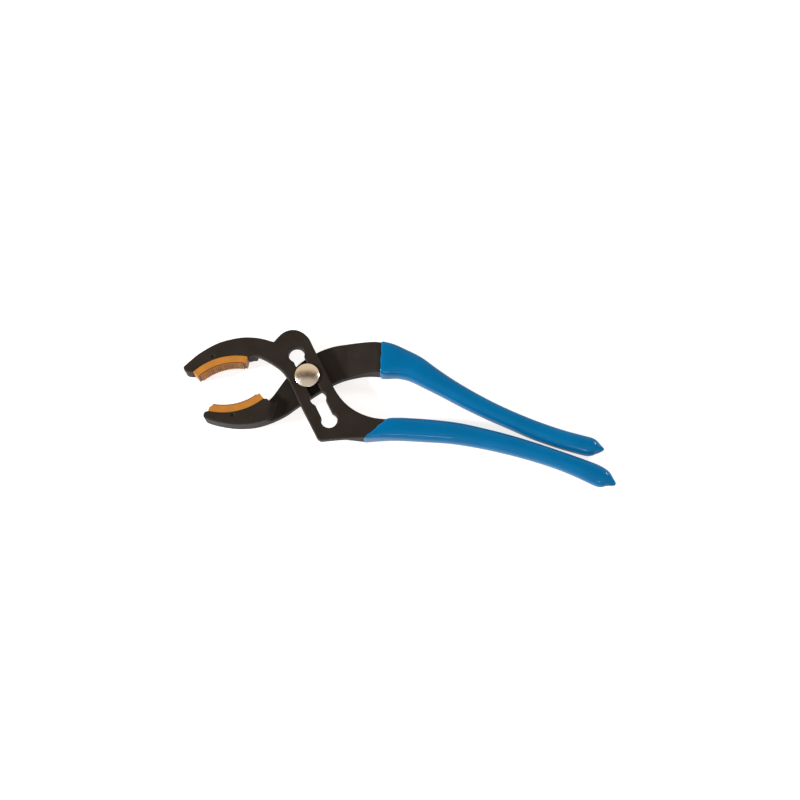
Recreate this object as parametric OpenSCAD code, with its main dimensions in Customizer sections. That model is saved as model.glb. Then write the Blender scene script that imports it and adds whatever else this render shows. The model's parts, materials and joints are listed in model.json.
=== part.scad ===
// Slip-joint pliers with curved jaws and soft ribbed pads, for round plastic fittings.
// Frame: origin on the pivot axis at the flat back of the nut, +X towards the handle ends,
// +Y towards the handle of the plain lever, +Z out of the side with the domed bolt head.

/* [Levers] */
// Thickness of the forged jaws and handles
lever_t = 11; // [8:0.5:12]
// Height of the levers' back faces above the surface that the tool lies on
back_z = 1.2; // [1:0.1:1.4]
// Thickness of the slotted lever where the two levers cross
slot_plate_t = 5.4; // [4.5:0.1:5.4]
// Thickness of the plain lever where the two levers cross
plain_plate_t = 5.4; // [4.8:0.1:5.4]

/* [Slip joint] */
// Angle of the slot below the +X axis
slot_angle = 48.5; // [44:0.5:52]
// Distance from one pivot seat to the next
seat_pitch = 14.6; // [14:0.1:14.6]
// Diameter of each round seat
seat_d = 9.2; // [8.8:0.1:9.6]
// Width of the channel that joins the seats
channel_w = 6.6; // [6:0.1:7]
// Width of the bolt's shank across its two flats
flats_w = 5.6; // [5:0.1:5.6]
// Diameter of the domed bolt head
head_d = 13.9; // [12.5:0.1:14.5]
// Height of the domed bolt head
head_h = 2.7; // [2:0.1:3.2]
// Diameter of the bolt's journal in the plain lever
journal_d = 8; // [7.4:0.1:8.4]
// Diameter of the sleeve nut
nut_d = 11.2; // [10:0.1:11.4]

/* [Pads] */
// Radius of the curved seat that a pad lies on
pad_seat_r = 35; // [34.8:0.1:35.2]
// Thickness of a pad from its seat to the tips of its ribs
pad_t = 4.9; // [4.5:0.1:5.2]
// Width of a pad across the jaw
pad_w = 10; // [8:0.5:10.5]
// Angle that a pad covers on its seat
pad_span = 54.4; // [50:0.4:56]
// Number of ribs on a pad
rib_count = 26; // [16:1:32]
// Height of the ribs
rib_h = 0.8; // [0.4:0.1:1.2]
// Width of the tongue that holds a pad in its jaw
tongue_w = 3.4; // [2.5:0.1:4.5]
// Depth of the tongue
tongue_h = 4; // [3.5:0.1:4.2]
// Diameter of the cross pins
pin_d = 1.6; // [1.2:0.1:2]

/* [Grips] */
// Side-to-side thickness of the coating over the steel
coat = 1.1; // [0.9:0.05:1.2]

/* [Hidden] */
$fn = 96;

steel = [0.2, 0.17, 0.15];
grip_blue = [0, 0.4, 0.6];
pad_amber = [0.78, 0.51, 0.16];
nickel = [0.8, 0.78, 0.74];

curve_steps = 5;        // straight pieces between two points of a curve
seat_steps = 24;        // straight pieces of a pad's seat
tongue_steps = 20;      // straight pieces of a pad's tongue
dome_steps = 10;        // straight pieces from the rim of the bolt head to its top
ring_steps = 4;         // rings between two stations of a grip
ring_points = 28;       // points round one ring of a grip
same_point = 0.02;      // points of an outline closer than this are one point
slip = 0.1;             // clearance of a sliding or running fit
over = 1;               // how far a cutting shape runs past what it cuts
far = 400;              // longer than the whole tool

front_z = back_z + lever_t;
slot_plate_z = front_z - slot_plate_t;
plain_plate_z = back_z + plain_plate_t;
mid_z = (back_z + front_z) / 2;

first_seat = -1;        // the seats are numbered from the one that the bolt rests in
last_seat = 2;
seat_chamfer = 0.5;

upper_pad_centre = [-33.5, -32.3];
upper_pad_angle = 122.1;
lower_pad_centre = [-48.8, 0.6];
lower_pad_angle = -61.6;
pad_pin_shift = 4.5;    // angle from the middle of a pad to its pin, towards the tip
pin_r = pad_seat_r + 2; // radius on which the pins lie
seat_past = 1;          // angle that the upper seat runs past its pad
tongue_span = 46;       // angle that a pad's tongue covers, so that its ends stay hidden
tongue_play = 0.3;      // angle of play at each end of a tongue
tongue_root = 1;        // how far a tongue reaches into its pad
groove_open = 3;        // how far a groove is open towards the middle of the jaw
plain_end = 3;          // angle without ribs at each end of a pad
rib_shape = [0, 0.35, 0.75]; // where a rib starts, is full and ends, as shares of its step
tip_bevel = 1.9;        // cut off the lower pad's inner corner, which passes the upper pad

tang_inset = 2.2;       // from the edge of a grip to the edge of the tang inside it
tang_low = 2.4;
tang_high = 8.6;
tang_stations = 11;     // stations of a grip that its tang runs through

head_gap = 0.06;        // between the bolt head and the slotted lever
head_rim = 0.9;         // height of the rim under the dome
shank_z = plain_plate_z + slip;
counterbore_d = nut_d + 0.6;
counterbore_z = back_z + 2.4;
thread_d = 6;
nut_floor = 0.8;
washer_t = 0.5;
washer_gap = 0.05;
nut_h = counterbore_z - washer_t - 2 * washer_gap;

// Stations along each grip: a point on the upper edge, a point on the lower edge, the
// lowest and highest levels, and how square the section is (2 is an ellipse).
lower_stations = [
    [[50.2, -12.3], [40, -27.6], 0.1, 13.3, 8],
    [[54.5, -10.7], [48, -24.8], 0, 13.2, 5],
    [[62, -8.4], [58, -22], 0, 12.8, 3.4],
    [[75, -5.7], [72.4, -19], 0, 12.4, 3],
    [[90, -3.5], [88.9, -15.8], 0, 12, 2.8],
    [[105, -2.9], [104.9, -14.2], 0, 11.8, 2.8],
    [[120, -2.9], [119.9, -13.6], 0, 11.6, 2.8],
    [[135, -3.6], [134.9, -13.7], 0, 11.4, 2.8],
    [[150, -4.7], [149.2, -14.6], 0, 11.2, 2.8],
    [[162, -5.8], [159.9, -16.1], 0, 11, 2.8],
    [[171, -6.7], [168.2, -17.8], 0.1, 10.8, 2.7],
    [[176.2, -8.1], [173, -18.7], 0.4, 10.5, 2.6],
    [[178.6, -9.4], [175.8, -18.5], 1.2, 9.8, 2.4],
    [[180.2, -10.9], [177.8, -17.4], 2.4, 8.6, 2.2]];
lower_nipple = [
    [[181.3, -12.2], [179.6, -16.7], 3.4, 7.6, 2.1],
    [[182.7, -13.6], [182, -16.3], 4.2, 6.9, 2],
    [[183.4, -14.5], [183.1, -15.5], 5, 6.1, 2]];
upper_stations = [
    [[34.8, 31.7], [39.4, 12], 0.1, 13.3, 8],
    [[42, 32.2], [43.6, 12.6], 0, 13.2, 5],
    [[50, 31.1], [49.2, 14.1], 0, 12.9, 3.6],
    [[60, 28.9], [56.5, 14.3], 0, 12.6, 3.2],
    [[70, 24.8], [66, 12.3], 0, 12.3, 3],
    [[80, 21], [76.6, 9.9], 0, 12.1, 2.8],
    [[92, 17.2], [89, 6.8], 0, 11.9, 2.8],
    [[106, 13.5], [103.5, 3.7], 0, 11.7, 2.8],
    [[120, 10.8], [118.4, 1.2], 0, 11.5, 2.8],
    [[134, 8.9], [133, -1.3], 0, 11.3, 2.8],
    [[148, 7.8], [147.7, -2.6], 0, 11.1, 2.8],
    [[158, 7.7], [157.8, -2.9], 0, 10.9, 2.8],
    [[164.6, 7.7], [164, -2.9], 0.2, 10.7, 2.7],
    [[167.4, 7.1], [166.9, -2.1], 0.9, 10, 2.4],
    [[169.2, 6], [169, -0.6], 2.2, 8.7, 2.2]];
upper_nipple = [
    [[170.6, 5.1], [170.5, 0.4], 3.3, 7.6, 2.1],
    [[172.2, 4.1], [172.2, 1.8], 4.2, 6.8, 2],
    [[173, 3.6], [173, 2.8], 5, 6, 2]];

// A smooth curve through all of the points p.
function curve(p) = [for (i = [0:len(p) - 2], k = [0:curve_steps - 1]) blend(p, i, k / curve_steps),
                     p[len(p) - 1]];
function blend(p, i, t) =
    let (a = p[max(i - 1, 0)], b = p[i], c = p[i + 1], d = p[min(i + 2, len(p) - 1)])
    b + ((c - a) * t + (2 * a - 5 * b + 4 * c - d) * t * t + (3 * b - a - 3 * c + d) * t * t * t) / 2;

function polar(centre, r, angle) = centre + r * [cos(angle), sin(angle)];
function arc(centre, r, from, to, steps) =
    [for (i = [0:steps]) polar(centre, r, from + (to - from) * i / steps)];
function along_slot(s, across = 0) =
    [s * cos(slot_angle) + across * sin(slot_angle), across * cos(slot_angle) - s * sin(slot_angle)];
function seat_at(i) = along_slot(i * seat_pitch);

// The point of a station's upper (side 0) or lower (side 1) edge, moved inwards by inset.
function edge(station, side, inset) =
    let (a = station[side], b = station[1 - side]) a + (b - a) / norm(b - a) * inset;
// The end of a lever's full section, which is hidden under the start of its grip.
function full_end(stations, side) = [for (t = [0, 0.7]) edge(mixed(stations, 0, t), side, coat)];
function reversed(p) = [for (i = [len(p) - 1:-1:0]) p[i]];
// One closed outline from stretches that meet end to end.
function outline(p) = [for (i = [0:len(p) - 1]) if (norm(p[i] - p[(i + 1) % len(p)]) > same_point)
                     p[i]];

slotted_jaw = [[-69.8, -12.8], [-68, -9.8], [-64.5, -4.1], [-60, 1.3], [-55, 6.1], [-50, 9.4],
               [-42.5, 13], [-35, 14.8], [-29.5, 15.1], [-24.4, 14.8]];
slotted_head = [[-24.4, 14.8], [-23, 18.4], [-20.4, 22.4], [-16, 25], [-11, 25], [-6, 22.6],
                [-2, 18.2], [0.6, 15.2]];
slotted_crook = [[15.6, -1.7], [20, -6.1], [25, -9.7], [30, -12.1], [36, -13.7], [43, -14.1]];
slotted_heel = [[30, -30], [20.5, -33.5], [17.8, -34.4], [15.8, -33.8]];
slotted_throat = [[-0.6, -15.6], [-5, -10.3], [-10, -4.7], [-15, -0.6], [-20, 1.7], [-25, 3.3],
                  [-29.5, 4.3], [-33.2, 4.1]];
slotted_tip = [[-67, -15.1], [-69.2, -14.4], [-69.8, -12.8]];

plain_tip = [[-49.8, -35.6], [-49.8, -37.9], [-48.4, -38.9], [-45.8, -39.2]];
plain_jaw = [[-45.8, -39.2], [-40.8, -39.2], [-35.8, -38.8], [-30.8, -38], [-25.8, -36.6],
             [-20.8, -34.6], [-15.8, -31.7], [-10.8, -27.9], [-5.8, -23.1], [-1.8, -17.9],
             [4.7, -10.2], [8.8, -5.4], [14, 0.4], [19.2, 4.8], [24.2, 7.8], [29.2, 10.3],
             [34.2, 12.1]];
plain_back = [[30, 29.9], [25, 28.8], [20, 27.5], [15, 25.9], [9.5, 23.4],
              [4.5, 20.2], [0, 16.4], [-5.3, 10.6], [-8.8, 5.2], [-12.7, -4], [-14.8, -10.4],
              [-16.6, -15.4], [-18.2, -18.6]];
plain_neck = [[-18.2, -18.6], [-19, -19.2]];

// Where each lever is cut down to its crossing plate, so that they lap at the slip joint.
slotted_relief = [[-32, 30], [-32, 0], [-24, -12], [-6, -45], [30, -45], [31.5, -29], [38, -15],
                  [38, 30]];
plain_relief = [[-13.2, -45], [-13.2, -18], [-15.4, -20.2], [-18.2, -18.9], [-32, 8],
                [-10, 34], [13.3, 34], [38.4, -45]];

// Ramps from the crossing plates up to a lever's full section: a point at the foot of the
// ramp, the direction in which it rises, and its length.
slotted_ramp = [[31.5, -29], -24.9, 7];
plain_neck_ramp = [[21.9, 6.9], 17.6, 17];
plain_jaw_ramp = [[-13.2, -25], 180, 2.2];

module slotted_plan() {
    seat = arc(upper_pad_centre, pad_seat_r, upper_pad_angle - pad_span / 2 - seat_past,
               upper_pad_angle + pad_span / 2, seat_steps);
    polygon(outline(concat(
        curve(slotted_jaw), curve(slotted_head),
        curve(concat(slotted_crook, full_end(lower_stations, 0))),
        curve(concat(reversed(full_end(lower_stations, 1)), slotted_heel)),
        curve(concat(slotted_throat, [seat[0]])), seat,
        curve(concat([seat[seat_steps]], slotted_tip)))));
}

module plain_plan() {
    seat = arc(lower_pad_centre, pad_seat_r, lower_pad_angle + pad_span / 2,
               lower_pad_angle - pad_span / 2, seat_steps);
    polygon(outline(concat(
        curve(concat([seat[seat_steps]], plain_tip)),
        curve(concat(plain_jaw, full_end(upper_stations, 1))),
        curve(concat(reversed(full_end(upper_stations, 0)), plain_back)),
        curve(concat(plain_neck, [seat[0]])), seat)));
}

module prism(low, high) {
    translate([0, 0, low]) linear_extrude(high - low) children();
}

// The narrow tang that runs on inside a grip.
module tang(stations) {
    inner = [for (i = [0:tang_stations - 1]) stations[i]];
    prism(tang_low, tang_high)
        polygon(concat(curve([for (s = inner) edge(s, 0, tang_inset)]),
                       curve(reversed([for (s = inner) edge(s, 1, tang_inset)]))));
}

// The groove in a jaw that takes a pad's tongue.
module groove(centre, angle) {
    prism(mid_z - tongue_w / 2 - slip, mid_z + tongue_w / 2 + slip)
        polygon(concat(
            arc(centre, pad_seat_r - groove_open, angle - pad_span / 2, angle + pad_span / 2,
                seat_steps),
            arc(centre, pad_seat_r + tongue_h + slip, angle + tongue_span / 2 + tongue_play,
                angle - tongue_span / 2 - tongue_play, tongue_steps)));
}

module cross_pin(centre, angle, d, low, high) {
    translate(concat(polar(centre, pin_r, angle), low)) cylinder(d = d, h = high - low);
}

// Everything that the slip joint's slot takes away: the seats and the channel between them.
module slot_cut() {
    for (i = [first_seat:last_seat]) {
        translate(concat(seat_at(i), slot_plate_z - over)) cylinder(d = seat_d, h = lever_t);
        translate(concat(seat_at(i), front_z - seat_chamfer))
            cylinder(d1 = seat_d, d2 = seat_d + 4 * seat_chamfer, h = 2 * seat_chamfer);
    }
    rotate(-slot_angle)
        translate([first_seat * seat_pitch, -channel_w / 2, slot_plate_z - over])
            cube([(last_seat - first_seat) * seat_pitch, channel_w, lever_t]);
}

// What lies above a ramp that starts at height z. It faces up, or down if flip is 180.
module ramp_cut(ramp, z, rise, flip) {
    translate(concat(ramp[0], z)) rotate([0, 0, ramp[1]]) rotate([flip, 0, 0])
        rotate([0, -atan(rise / ramp[2]), 0]) translate([0, -far / 2, 0]) cube([far, far, far]);
}

module slotted_lever() {
    color(steel) difference() {
        union() {
            prism(back_z, front_z) slotted_plan();
            tang(lower_stations);
        }
        prism(back_z - over, slot_plate_z) polygon(slotted_relief);
        ramp_cut(slotted_ramp, slot_plate_z, lever_t - slot_plate_t, 180);
        slot_cut();
        groove(upper_pad_centre, upper_pad_angle);
        cross_pin(upper_pad_centre, upper_pad_angle + pad_pin_shift, pin_d + slip, 0, far);
    }
}

module plain_lever() {
    color(steel) difference() {
        union() {
            prism(back_z, front_z) plain_plan();
            tang(upper_stations);
        }
        prism(plain_plate_z, far) polygon(plain_relief);
        for (ramp = [plain_neck_ramp, plain_jaw_ramp])
            ramp_cut(ramp, plain_plate_z, lever_t - plain_plate_t, 0);
        cylinder(d = journal_d + slip, h = far);
        cylinder(d = counterbore_d, h = counterbore_z);
        groove(lower_pad_centre, lower_pad_angle);
        cross_pin(lower_pad_centre, lower_pad_angle - pad_pin_shift, pin_d + slip, 0, far);
    }
}

// One ring of a grip: a rounded section that stands on a station's two edge points.
function ring(s) =
    let (m = (s[0] + s[1]) / 2, h = (s[0] - s[1]) / 2, low = s[2], high = s[3], n = 2 / s[4])
    [for (k = [0:ring_points - 1])
        let (c = cos(360 * k / ring_points), t = sin(360 * k / ring_points))
        concat(m + h * sign(c) * pow(abs(c), n),
               (low + high) / 2 + (high - low) / 2 * sign(t) * pow(abs(t), n))];
function mixed(stations, i, t) =
    concat([for (k = [0, 1]) blend([for (s = stations) s[k]], i, t)],
           [for (k = [2:4]) let (a = stations[i][k], b = stations[i + 1][k]) a + (b - a) * t]);
function rings(stations) =
    concat([for (i = [0:len(stations) - 2], k = [0:ring_steps - 1])
               ring(mixed(stations, i, k / ring_steps))],
           [ring(stations[len(stations) - 1])]);

module loft(all_rings) {
    n = ring_points;
    last = len(all_rings) - 1;
    polyhedron(
        points = [for (r = all_rings, p = r) p],
        faces = concat(
            [[for (k = [0:n - 1]) k]],
            [for (i = [0:last - 1], k = [0:n - 1])
                [i * n + k, (i + 1) * n + k, (i + 1) * n + (k + 1) % n, i * n + (k + 1) % n]],
            [[for (k = [n - 1:-1:0]) last * n + k]]));
}

module lower_grip() {
    color(grip_blue) difference() {
        loft(concat(rings(lower_stations), rings(lower_nipple)));
        prism(back_z, front_z) slotted_plan();
        tang(lower_stations);
    }
}

module upper_grip() {
    color(grip_blue) difference() {
        loft(concat(rings(upper_stations), rings(upper_nipple)));
        prism(back_z, front_z) plain_plan();
        tang(upper_stations);
    }
}

// A pad's outline: a smooth back on the jaw's seat and a row of ribs inside, plain at both ends.
// bevel is cut off the inner corner at the end where the angle is lowest.
module pad_plan(centre, angle, bevel) {
    back_r = pad_seat_r - slip / 2;
    tip_r = pad_seat_r - pad_t;
    ribbed = pad_span - 2 * plain_end;
    start = angle - ribbed / 2;
    step = ribbed / rib_count;
    ribs = [for (i = [0:rib_count - 1], k = [0, 1, 2])
               polar(centre, tip_r + (k == 0 ? rib_h : 0), start + (i + rib_shape[k]) * step)];
    polygon(concat([polar(centre, tip_r + rib_h + bevel, angle - pad_span / 2)], ribs,
                   [polar(centre, tip_r + rib_h, angle + ribbed / 2),
                    polar(centre, tip_r + rib_h, angle + pad_span / 2)],
                   arc(centre, back_r, angle + pad_span / 2, angle - pad_span / 2, seat_steps)));
}

module pad(centre, angle, pin_angle, bevel) {
    difference() {
        union() {
            prism(mid_z - pad_w / 2, mid_z + pad_w / 2) pad_plan(centre, angle, bevel);
            prism(mid_z - tongue_w / 2, mid_z + tongue_w / 2)
                polygon(concat(
                    arc(centre, pad_seat_r - tongue_root, angle - tongue_span / 2,
                        angle + tongue_span / 2, tongue_steps),
                    arc(centre, pad_seat_r + tongue_h, angle + tongue_span / 2,
                        angle - tongue_span / 2, tongue_steps)));
        }
        cross_pin(centre, pin_angle, pin_d + slip, 0, far);
    }
}

module upper_pad() {
    color(pad_amber) pad(upper_pad_centre, upper_pad_angle, upper_pad_angle + pad_pin_shift, 0);
}

module lower_pad() {
    color(pad_amber)
        pad(lower_pad_centre, lower_pad_angle, lower_pad_angle - pad_pin_shift, tip_bevel);
}

module upper_pad_pin() {
    color(steel) cross_pin(upper_pad_centre, upper_pad_angle + pad_pin_shift, pin_d, back_z, front_z);
}

module lower_pad_pin() {
    color(steel) cross_pin(lower_pad_centre, lower_pad_angle - pad_pin_shift, pin_d, back_z, front_z);
}

// The head is a shallow dome on a thin rim, and the shank's two flats pass through the channel.
module pivot_bolt() {
    dome_h = head_h - head_rim;
    dome_r = (head_d * head_d / 4 + dome_h * dome_h) / (2 * dome_h);
    dome_angle = asin(head_d / 2 / dome_r);
    head_z = front_z + head_gap;
    color(nickel) union() {
        translate([0, 0, head_z]) rotate_extrude()
            polygon(concat([[0, 0], [head_d / 2, 0]],
                           arc([0, head_h - dome_r], dome_r, 90 - dome_angle, 90, dome_steps)));
        rotate(-slot_angle) intersection() {
            translate([0, 0, shank_z]) cylinder(d = seat_d - 2 * slip, h = head_z + slip - shank_z);
            translate([-seat_d, -flats_w / 2, 0]) cube([2 * seat_d, flats_w, far]);
        }
        translate([0, 0, counterbore_z]) cylinder(d = journal_d, h = shank_z + slip - counterbore_z);
        translate([0, 0, nut_floor]) cylinder(d = thread_d, h = counterbore_z + slip - nut_floor);
    }
}

module pivot_washer() {
    color(nickel) translate([0, 0, nut_h + washer_gap]) difference() {
        cylinder(d = nut_d, h = washer_t);
        translate([0, 0, -over]) cylinder(d = thread_d + 2 * slip, h = washer_t + 2 * over);
    }
}

module pivot_nut() {
    color(nickel) difference() {
        cylinder(d = nut_d, h = nut_h);
        translate([0, 0, nut_floor]) cylinder(d = thread_d, h = nut_h);
    }
}

slotted_lever();
plain_lever();
lower_grip();
upper_grip();
upper_pad();
lower_pad();
upper_pad_pin();
lower_pad_pin();
pivot_bolt();
pivot_washer();
pivot_nut();
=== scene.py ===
"""Studio picture of slip-joint pliers with soft jaws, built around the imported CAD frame."""

import json
import math

import bmesh
import bpy
import numpy as np
from mathutils import Matrix, Vector, noise
from mathutils.bvhtree import BVHTree


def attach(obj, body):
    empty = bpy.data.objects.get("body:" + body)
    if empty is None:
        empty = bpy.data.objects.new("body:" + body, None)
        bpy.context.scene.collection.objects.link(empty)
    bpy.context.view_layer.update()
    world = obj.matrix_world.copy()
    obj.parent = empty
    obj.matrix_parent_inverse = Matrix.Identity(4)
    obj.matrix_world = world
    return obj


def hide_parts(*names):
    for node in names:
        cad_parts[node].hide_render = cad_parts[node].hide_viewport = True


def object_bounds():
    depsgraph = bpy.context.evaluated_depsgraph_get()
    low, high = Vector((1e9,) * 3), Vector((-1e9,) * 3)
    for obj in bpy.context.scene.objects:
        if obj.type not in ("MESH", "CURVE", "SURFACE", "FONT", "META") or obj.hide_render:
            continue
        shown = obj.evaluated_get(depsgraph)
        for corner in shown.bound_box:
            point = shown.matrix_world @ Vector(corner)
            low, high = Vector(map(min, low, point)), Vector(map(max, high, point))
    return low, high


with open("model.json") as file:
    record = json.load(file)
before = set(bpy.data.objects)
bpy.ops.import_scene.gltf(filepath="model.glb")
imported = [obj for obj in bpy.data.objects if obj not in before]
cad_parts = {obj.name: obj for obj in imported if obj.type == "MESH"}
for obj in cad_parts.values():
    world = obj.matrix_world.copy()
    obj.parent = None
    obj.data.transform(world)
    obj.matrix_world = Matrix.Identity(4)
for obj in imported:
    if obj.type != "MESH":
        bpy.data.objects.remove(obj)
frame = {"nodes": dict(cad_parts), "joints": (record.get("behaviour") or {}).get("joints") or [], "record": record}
cad_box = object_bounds()

MM = 0.001
SCENE = bpy.context.scene
NODES = frame["nodes"]
JOINTS = {joint["name"]: joint for joint in frame["joints"]}

# Camera: how far it leans back from straight down, how the tool is turned in the picture,
# and where it looks, counted from the middle of the object.
CAMERA_LEAN = math.radians(18)
PICTURE_TURN = math.radians(15)
PICTURE_UP = Vector((-math.sin(PICTURE_TURN), math.cos(PICTURE_TURN), 0))
CAMERA_DISTANCE = 0.6
CAMERA_LENS = 47.84
LOOK_SHIFT = Vector((-0.002, 0.0031, 0))
LOOK_HEIGHT = 12.2 * MM

# Slip joint, from the slide that moves the pivot along the slot.
SLOT_AXIS = Vector(JOINTS["pivot_shift"]["axis"]).normalized()
SLOT_ACROSS = Vector((-SLOT_AXIS.y, SLOT_AXIS.x, 0))
SLOT_START, SLOT_END = JOINTS["pivot_shift"]["range_m"]
SLOT_MARGIN = 6.3 * MM

# Pads: the axis that each pad curves round, the radius of its ribs' tips and a radius just past
# their roots, between which shade is painted into the grooves, and how far the ends of the cross pins lie below
# the steel.
PAD_CENTRES = {"upper": (-33.5, -32.3), "lower": (-48.8, 0.6)}
RIB_TIP = 30.1 * MM
PAST_RIB_ROOT = 31.1 * MM
PIN_DEPTH = 0.7 * MM

# Fineness of the rebuilt meshes.
STEEL_VOXEL = 0.35 * MM
GRIP_VOXEL = 0.5 * MM
PAD_VOXEL = 0.15 * MM
SAME_PLACE = 0.001 * MM

# Lip of a grip: how far the thinning reaches, how much it thins, and the size of its waves.
LIP_REACH = 2.2 * MM
LIP_THINNING = 0.45 * MM
LIP_WAVE = 0.7 * MM
WAVES_PER_METRE = 260
CORE_CONTACT = 0.03 * MM

# Edges broken on the turned and ground parts.
HEAD_EDGE = 0.3 * MM
WASHER_EDGE = 0.08 * MM
PIN_EDGE = 0.15 * MM
SHARP_CORNER = math.radians(40)
BEVELLED_CORNER = math.radians(35)

# Studio: where the small lights stand and point, and the sockets of a colour mix.
LIGHT_DISTANCE = 0.9
LIGHT_TARGET = Vector((0.05, 0, 0))
FLOOR_REACH = 3
COLOUR_A, COLOUR_B, COLOUR_OUT = 6, 7, 2


# ---------------------------------------------------------------- mesh helpers

def new_piece(name, mesh):
    piece = bpy.data.objects.new(name, mesh)
    SCENE.collection.objects.link(piece)
    return piece


def copy_of(node, name):
    """A free copy of a CAD node's mesh, which can be worked on."""
    mesh = NODES[node].data.copy()
    mesh.materials.clear()
    return new_piece(name, mesh)


def bake_modifiers(piece):
    depsgraph = bpy.context.evaluated_depsgraph_get()
    mesh = bpy.data.meshes.new_from_object(piece.evaluated_get(depsgraph))
    piece.modifiers.clear()
    piece.data = mesh


def remesh(piece, voxel):
    """Rebuilds the piece as an even mesh of small quads."""
    modifier = piece.modifiers.new("even", "REMESH")
    modifier.mode = "VOXEL"
    modifier.voxel_size = voxel
    bake_modifiers(piece)


def coordinates(mesh):
    flat = np.empty(len(mesh.vertices) * 3)
    mesh.vertices.foreach_get("co", flat)
    return flat.reshape(-1, 3)


def set_coordinates(mesh, points):
    mesh.vertices.foreach_set("co", points.ravel())
    mesh.update()


def relax(mesh, passes, weight=1.0):
    """Moves each vertex towards the mean of its neighbours, which rounds the edges."""
    points = coordinates(mesh)
    ends = np.empty(len(mesh.edges) * 2, int)
    mesh.edges.foreach_get("vertices", ends)
    a, b = ends.reshape(-1, 2).T
    count = np.bincount(a, minlength=len(points)) + np.bincount(b, minlength=len(points))
    share = 0.5 * np.broadcast_to(weight, len(points))
    for _ in range(passes):
        total = np.stack([
            np.bincount(a, points[b, k], len(points)) + np.bincount(b, points[a, k], len(points))
            for k in range(3)], axis=1)
        points += share[:, None] * (total / count[:, None] - points)
    set_coordinates(mesh, points)


def shade_smooth(piece):
    piece.data.polygons.foreach_set("use_smooth", [True] * len(piece.data.polygons))


def away_from_slot(points):
    """0 at the slot of the slotted lever and 1 away from it."""
    along = points @ np.array(SLOT_AXIS)
    across = points @ np.array(SLOT_ACROSS)
    nearest = np.clip(along, SLOT_START, SLOT_END)
    distance = np.hypot(along - nearest, across)
    return np.clip((distance - SLOT_MARGIN) / MM, 0, 1)


# ---------------------------------------------------------------- materials

def material(name, base, roughness, metallic=0.0):
    """A Principled material and its node tree, with its uniform values set."""
    made = bpy.data.materials.new(name)
    made.use_nodes = True
    tree = made.node_tree
    shader = tree.nodes["Principled BSDF"]
    shader.inputs["Base Color"].default_value = (*base, 1)
    shader.inputs["Roughness"].default_value = roughness
    shader.inputs["Metallic"].default_value = metallic
    return made, tree, shader


def object_noise(tree, scale, detail=4.0, roughness=0.5):
    place = tree.nodes.new("ShaderNodeTexCoord")
    grain = tree.nodes.new("ShaderNodeTexNoise")
    grain.inputs["Scale"].default_value = scale
    grain.inputs["Detail"].default_value = detail
    grain.inputs["Roughness"].default_value = roughness
    tree.links.new(place.outputs["Object"], grain.inputs["Vector"])
    return grain.outputs["Fac"]


def mapped(tree, value, low, high, to_low, to_high):
    node = tree.nodes.new("ShaderNodeMapRange")
    for socket, number in zip(node.inputs[1:5], (low, high, to_low, to_high)):
        socket.default_value = number
    tree.links.new(value, node.inputs["Value"])
    return node.outputs["Result"]


def ramp(tree, value, stops):
    node = tree.nodes.new("ShaderNodeValToRGB")
    elements = node.color_ramp.elements
    elements[0].position, elements[1].position = stops[0][0], stops[-1][0]
    elements[0].color, elements[1].color = (*stops[0][1], 1), (*stops[-1][1], 1)
    for position, colour in stops[1:-1]:
        elements.new(position).color = (*colour, 1)
    tree.links.new(value, node.inputs["Fac"])
    return node.outputs["Color"]


def bump(tree, shader, height, strength, distance):
    node = tree.nodes.new("ShaderNodeBump")
    node.inputs["Strength"].default_value = strength
    node.inputs["Distance"].default_value = distance
    tree.links.new(height, node.inputs["Height"])
    tree.links.new(node.outputs["Normal"], shader.inputs["Normal"])


def mixed_heights(tree, a, b, share):
    """One height from two textures: a plus share times b."""
    node = tree.nodes.new("ShaderNodeMath")
    node.operation = "MULTIPLY_ADD"
    node.inputs[1].default_value = share
    tree.links.new(b, node.inputs[0])
    tree.links.new(a, node.inputs[2])
    return node.outputs["Value"]


def dark_steel():
    """Forged steel under a brown-black phosphate coat."""
    made, tree, shader = material("dark_steel", (0.017, 0.013, 0.0105), 0.48)
    shader.inputs["Specular IOR Level"].default_value = 0.08
    patches = object_noise(tree, 90, 3)
    grain = object_noise(tree, 1500, 3, 0.6)
    tree.links.new(
        ramp(tree, patches, [(0.3, (0.0145, 0.011, 0.009)), (0.7, (0.0195, 0.015, 0.012))]),
        shader.inputs["Base Color"])
    tree.links.new(mapped(tree, grain, 0.3, 0.7, 0.4, 0.54), shader.inputs["Roughness"])
    bump(tree, shader, mixed_heights(tree, grain, patches, 2.0), 0.35, 0.00012)
    return made


def blue_vinyl():
    """Smooth dipped vinyl with a faint ripple from the dip."""
    made, tree, shader = material("blue_vinyl", (0.0, 0.1, 0.245), 0.2)
    shader.inputs["Specular IOR Level"].default_value = 0.12
    ripple = object_noise(tree, 60, 2)
    tree.links.new(
        ramp(tree, ripple, [(0.3, (0.0, 0.093, 0.228)), (0.7, (0.0, 0.107, 0.262))]),
        shader.inputs["Base Color"])
    fine = object_noise(tree, 400, 2)
    tree.links.new(mapped(tree, fine, 0.3, 0.7, 0.16, 0.24), shader.inputs["Roughness"])
    bump(tree, shader, ripple, 0.12, 0.0006)
    return made


def distance_from_axis(tree, centre):
    """Distance of the shaded point from the upright line through centre, given in mm."""
    place = tree.nodes.new("ShaderNodeTexCoord")
    offset = tree.nodes.new("ShaderNodeVectorMath")
    offset.operation = "MULTIPLY_ADD"
    offset.inputs[1].default_value = (1, 1, 0)
    offset.inputs[2].default_value = (-centre[0] * MM, -centre[1] * MM, 0)
    length = tree.nodes.new("ShaderNodeVectorMath")
    length.operation = "LENGTH"
    tree.links.new(place.outputs["Object"], offset.inputs[0])
    tree.links.new(offset.outputs["Vector"], length.inputs[0])
    return length.outputs["Value"]


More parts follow.
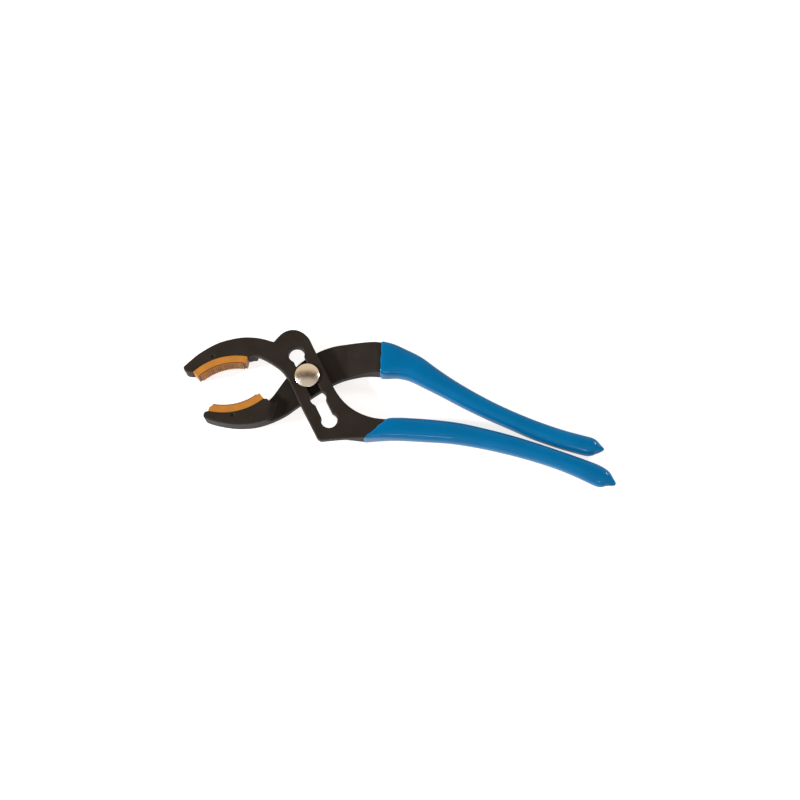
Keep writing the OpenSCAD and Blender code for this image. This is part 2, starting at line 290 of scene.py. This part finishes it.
def amber_nylon(side):
    """Moulded amber nylon, slightly mottled, with painted shade darkening the grooves between the ribs."""
    made, tree, shader = material(f"amber_nylon_{side}", (0.32, 0.125, 0.014), 0.5)
    shader.inputs["Specular IOR Level"].default_value = 0.3
    body = ramp(tree, object_noise(tree, 220, 4),
                [(0.3, (0.29, 0.112, 0.012)), (0.7, (0.36, 0.137, 0.016))])
    # Painted shade: the colour is multiplied darker from just inside the rib tips to near the roots, so the
    # grooves look shaded.
    depth = mapped(tree, distance_from_axis(tree, PAD_CENTRES[side]), RIB_TIP, PAST_RIB_ROOT, 0, 1)
    painted_groove_shade = ramp(tree, depth, [(0.3, (1, 1, 1)), (0.45, (0.2, 0.12, 0.1)),
                               (0.76, (0.1, 0.06, 0.05)), (0.84, (1, 1, 1))])
    mix = tree.nodes.new("ShaderNodeMix")
    mix.data_type = "RGBA"
    mix.blend_type = "MULTIPLY"
    mix.inputs["Factor"].default_value = 1
    tree.links.new(body, mix.inputs[COLOUR_A])
    tree.links.new(painted_groove_shade, mix.inputs[COLOUR_B])
    tree.links.new(mix.outputs[COLOUR_OUT], shader.inputs["Base Color"])
    grain = object_noise(tree, 2500, 2)
    bump(tree, shader, grain, 0.25, 0.00008)
    return made


def satin_nickel():
    """Nickel plate with fine turning marks round the pivot axis."""
    made, tree, shader = material("satin_nickel", (0.66, 0.57, 0.46), 0.22, 1.0)
    rings = tree.nodes.new("ShaderNodeTexNoise")
    rings.noise_dimensions = "1D"
    rings.inputs["Scale"].default_value = 9000
    tree.links.new(distance_from_axis(tree, (0, 0)), rings.inputs["W"])
    cloud = object_noise(tree, 500, 4)
    tree.links.new(mapped(tree, cloud, 0.3, 0.7, 0.18, 0.3), shader.inputs["Roughness"])
    bump(tree, shader, rings.outputs["Fac"], 0.06, 0.00003)
    return made


# ---------------------------------------------------------------- steel

def forged(node, name, finish, mask=None):
    """A lever with the rounded edges of a forging; mask says where they round most."""
    piece = copy_of(node, name)
    remesh(piece, STEEL_VOXEL)
    relax(piece.data, 2)
    weight = 1.0 if mask is None else mask(coordinates(piece.data))
    relax(piece.data, 6, weight)
    shade_smooth(piece)
    piece.data.materials.append(finish)
    return piece


# ---------------------------------------------------------------- grips

def outer_skin(node, core, name):
    """A grip without its cavity. Also gives the middle and the inward normal of its lip."""
    piece = copy_of(node, name)
    core_mesh = NODES[core].data
    tree = BVHTree.FromPolygons(
        [v.co for v in core_mesh.vertices], [list(p.vertices) for p in core_mesh.polygons])
    form = bmesh.new()
    form.from_mesh(piece.data)
    bmesh.ops.remove_doubles(form, verts=form.verts, dist=SAME_PLACE)
    inside = [
        f for f in form.faces if tree.find_nearest(f.calc_center_median())[3] < CORE_CONTACT]
    bmesh.ops.delete(form, geom=inside, context="FACES")
    rim = [e for e in form.edges if e.is_boundary]
    points = np.array([v.co for e in rim for v in e.verts])
    middle = points.mean(axis=0)
    normal = np.linalg.svd(points - middle)[2][2]
    if normal[0] < 0:
        normal = -normal
    bmesh.ops.triangle_fill(form, edges=rim, use_beauty=True)
    form.to_mesh(piece.data)
    form.free()
    return piece, middle, normal


def dipped(node, core, name, finish):
    """A dipped grip: it thins towards an uneven lip, and is smooth everywhere else."""
    piece, middle, normal = outer_skin(node, core, name)
    remesh(piece, GRIP_VOXEL)
    relax(piece.data, 6)
    points = coordinates(piece.data)
    normals = np.empty(len(piece.data.vertices) * 3)
    piece.data.vertices.foreach_get("normal", normals)
    normals = normals.reshape(-1, 3)
    depth = (points - middle) @ normal
    near = np.clip(1 - depth / LIP_REACH, 0, 1) ** 2
    wave = np.array([noise.noise(Vector(p) * WAVES_PER_METRE) for p in points])
    points -= normals * (near * LIP_THINNING)[:, None]
    points += normal * (near * wave * LIP_WAVE)[:, None]
    set_coordinates(piece.data, points)
    relax(piece.data, 2)
    shade_smooth(piece)
    piece.data.materials.append(finish)
    return piece


# ---------------------------------------------------------------- pads and pins

def moulded(node, name, finish):
    """A pad with softly rounded ribs."""
    piece = copy_of(node, name)
    remesh(piece, PAD_VOXEL)
    relax(piece.data, 1)
    shade_smooth(piece)
    piece.data.materials.append(finish)
    return piece


def bevelled(node, name, finish, width):
    """A turned or ground part with its sharp edges broken."""
    piece = copy_of(node, name)
    weld = piece.modifiers.new("weld", "WELD")
    weld.merge_threshold = SAME_PLACE
    edge = piece.modifiers.new("edge", "BEVEL")
    edge.width = width
    edge.segments = 3
    edge.limit_method = "ANGLE"
    edge.angle_limit = BEVELLED_CORNER
    bake_modifiers(piece)
    piece.data.set_sharp_from_angle(angle=SHARP_CORNER)
    piece.data.materials.append(finish)
    return piece


def sink(piece, depth):
    """Shortens an upright piece by depth at both ends."""
    points = coordinates(piece.data)
    low, high = points[:, 2].min(), points[:, 2].max()
    points[:, 2] = np.clip(points[:, 2], low + depth, high - depth)
    set_coordinates(piece.data, points)


# ---------------------------------------------------------------- studio

def aim(thing, place, target, up):
    """Puts a camera or light at place, looking at target, with up upright in its view."""
    back = (place - target).normalized()
    right = up.cross(back).normalized()
    turn = Matrix((right, back.cross(right), back)).transposed()
    thing.matrix_world = Matrix.Translation(place) @ turn.to_4x4()


def camera():
    low, high = cad_box
    target = (low + high) / 2 + LOOK_SHIFT
    target.z = LOOK_HEIGHT
    back = Vector((0, 0, math.cos(CAMERA_LEAN))) - PICTURE_UP * math.sin(CAMERA_LEAN)
    lens = bpy.data.cameras.new("camera")
    lens.lens = CAMERA_LENS
    lens.sensor_width = 36
    thing = bpy.data.objects.new("camera", lens)
    SCENE.collection.objects.link(thing)
    aim(thing, target + back * CAMERA_DISTANCE, target, PICTURE_UP)
    SCENE.camera = thing


def softbox(name, azimuth, elevation, size, power):
    """A square area light; azimuth is counted from +X towards +Y, in degrees."""
    a, e = math.radians(azimuth), math.radians(elevation)
    direction = Vector((math.cos(a) * math.cos(e), math.sin(a) * math.cos(e), math.sin(e)))
    light = bpy.data.lights.new(name, "AREA")
    light.shape = "SQUARE"
    light.size = size
    light.energy = power
    thing = bpy.data.objects.new(name, light)
    SCENE.collection.objects.link(thing)
    aim(thing, LIGHT_TARGET + direction * LIGHT_DISTANCE, LIGHT_TARGET, Vector((0, 0, 1)))


def room():
    """A pale tent with a dark band overhead, which the flat faces mirror."""
    world = bpy.data.worlds.new("room")
    world.use_nodes = True
    tree = world.node_tree
    place = tree.nodes.new("ShaderNodeTexCoord")
    across = tree.nodes.new("ShaderNodeVectorMath")
    across.operation = "DOT_PRODUCT"
    up = Vector((0, 0, 1))
    across.inputs[1].default_value = (
        PICTURE_UP * math.cos(CAMERA_LEAN) - up * math.sin(CAMERA_LEAN))
    tree.links.new(place.outputs["Generated"], across.inputs[0])
    level = mapped(tree, across.outputs["Value"], -1, 1, 0, 1)
    colour = ramp(tree, level, [
        (0.0, (0.72, 0.7, 0.68)), (0.28, (0.66, 0.62, 0.58)), (0.42, (0.14, 0.11, 0.09)),
        (0.58, (0.2, 0.15, 0.11)), (0.72, (0.88, 0.74, 0.57)), (1.0, (0.9, 0.85, 0.79))])
    tree.links.new(colour, tree.nodes["Background"].inputs["Color"])
    tree.nodes["Background"].inputs["Strength"].default_value = 1.15
    SCENE.world = world


def studio():
    room()
    softbox("edge_light", 204, 26, 0.1, 11)
    softbox("tip_light", 37, 27, 0.13, 5)
    softbox("streak_light", 290, 30, 0.04, 1.6)
    mesh = bpy.data.meshes.new("floor")
    corners = [(x * FLOOR_REACH, y * FLOOR_REACH, 0)
               for x, y in ((-1, -1), (1, -1), (1, 1), (-1, 1))]
    mesh.from_pydata(corners, [], [(0, 1, 2, 3)])
    floor = new_piece("floor", mesh)
    paper, tree, shader = material("white_paper", (0.35, 0.35, 0.35), 0.9)
    shader.inputs["Specular IOR Level"].default_value = 0.1
    shader.inputs["Emission Color"].default_value = (1, 0.98, 0.97, 1)
    shader.inputs["Emission Strength"].default_value = 0.8
    tree.links.new(
        ramp(tree, object_noise(tree, 4, 2), [(0.3, (0.33,) * 3), (0.7, (0.36,) * 3)]),
        shader.inputs["Base Color"])
    mesh.materials.append(paper)
    SCENE.view_settings.view_transform = "Standard"
    SCENE.view_settings.look = "None"


# ---------------------------------------------------------------- assembly

def place(piece, node, slot):
    """The piece stands for the CAD node and rides on the node's body; slot is not used."""
    body = next(b for b, members in frame["record"]["behaviour"]["bodies"].items()
                if node in members)
    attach(piece, body)
    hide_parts(node)


camera()
studio()
STEEL = dark_steel()
VINYL = blue_vinyl()
NICKEL = satin_nickel()

place(forged("slotted_lever", "slotted_lever_forging", STEEL, away_from_slot),
      "slotted_lever", "dark_steel")
place(forged("plain_lever", "plain_lever_forging", STEEL), "plain_lever", "dark_steel")
place(dipped("lower_grip", "slotted_lever", "lower_grip_dip", VINYL), "lower_grip", "blue_dip")
place(dipped("upper_grip", "plain_lever", "upper_grip_dip", VINYL), "upper_grip", "blue_dip")
for side in ("upper", "lower"):
    place(moulded(f"{side}_pad", f"{side}_pad_moulding", amber_nylon(side)),
          f"{side}_pad", "amber_nylon")
    pin = bevelled(f"{side}_pad_pin", f"{side}_pin", STEEL, PIN_EDGE)
    sink(pin, PIN_DEPTH)
    place(pin, f"{side}_pad_pin", "dark_steel")
place(bevelled("pivot_bolt", "bolt", NICKEL, HEAD_EDGE), "pivot_bolt", "satin_nickel")
place(bevelled("pivot_nut", "nut", NICKEL, HEAD_EDGE), "pivot_nut", "satin_nickel")
place(bevelled("pivot_washer", "washer", NICKEL, WASHER_EDGE), "pivot_washer", "satin_nickel")
